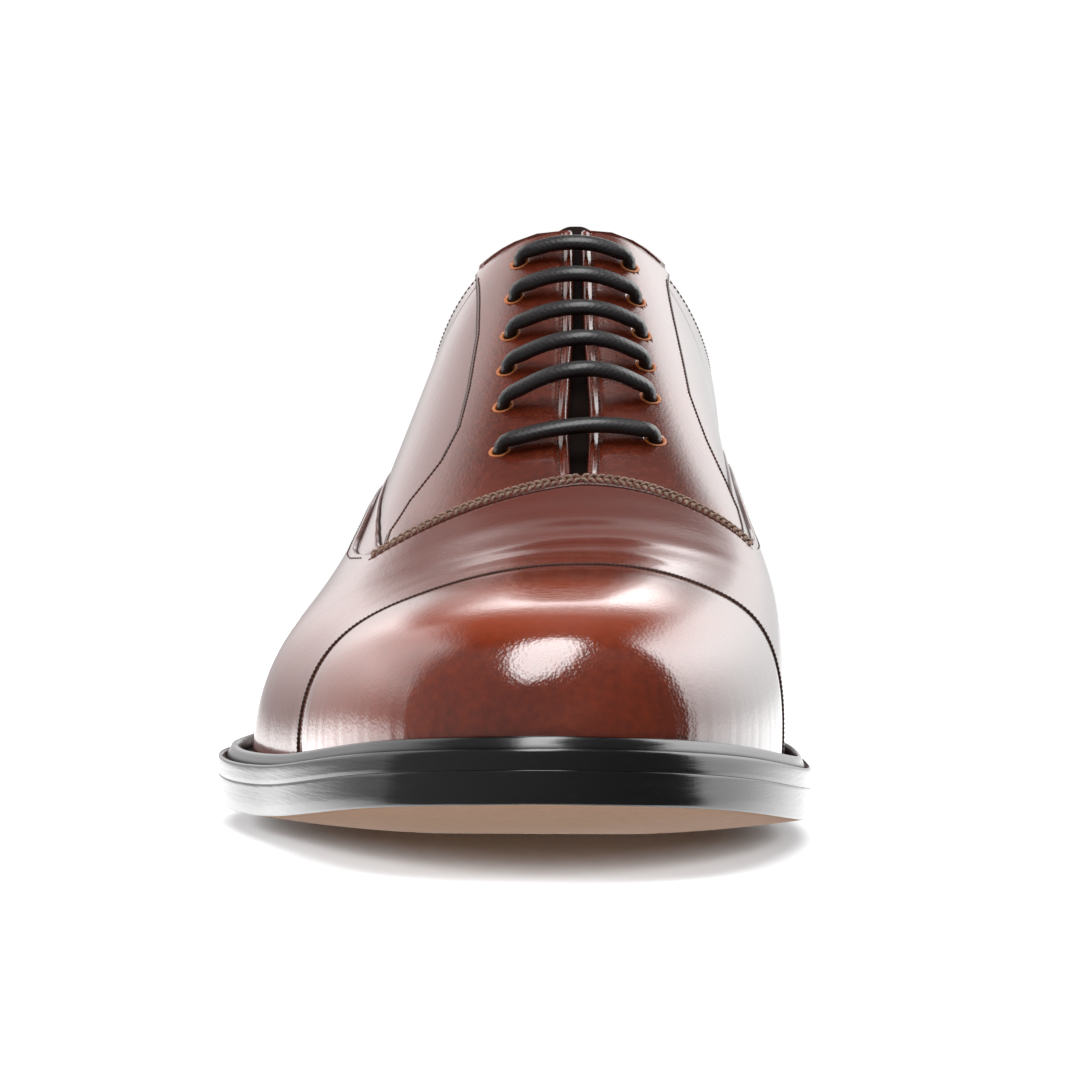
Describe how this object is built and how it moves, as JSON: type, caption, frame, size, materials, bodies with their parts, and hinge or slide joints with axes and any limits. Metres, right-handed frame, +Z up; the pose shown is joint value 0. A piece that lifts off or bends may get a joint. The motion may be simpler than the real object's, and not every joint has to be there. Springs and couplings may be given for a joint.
{
  "type": "cap toe oxford shoe",
  "caption": "Right cap toe oxford dress shoe in polished brown leather, with closed straight lacing, welted leather sole and stacked heel.",
  "frame": {"origin": "on the floor, under the middle of the shoe's bounding box", "axes": "+Z up, -Y towards the toe, +X towards the inner (big toe) side of the foot"},
  "size_m": [0.1106, 0.3041, 0.1206],
  "materials": {
    "sole_leather": "tan leather underside, black dressed edge",
    "welt_leather": "black dressed, satin",
    "heel_leather": "black dressed stack, satin",
    "heel_rubber": "matt",
    "insole_leather": "natural, matt",
    "upper_leather": "polished, glossy",
    "tongue_leather": "dark, soft sheen",
    "lace_cord": "waxed cord"
  },
  "bodies": {
    "root": {"outsole": "sole_leather", "welt": "welt_leather", "heel_stack": "heel_leather", "heel_top_piece": "heel_rubber", "insole": "insole_leather", "upper": "upper_leather", "toe_cap": "upper_leather", "facing_lateral": "upper_leather", "facing_medial": "upper_leather", "tongue": "tongue_leather", "lace_bar_1": "lace_cord", "lace_bar_2": "lace_cord", "lace_bar_3": "lace_cord", "lace_bar_4": "lace_cord", "lace_bar_5": "lace_cord", "lace_bar_6": "lace_cord"}
  },
  "joints": []
}
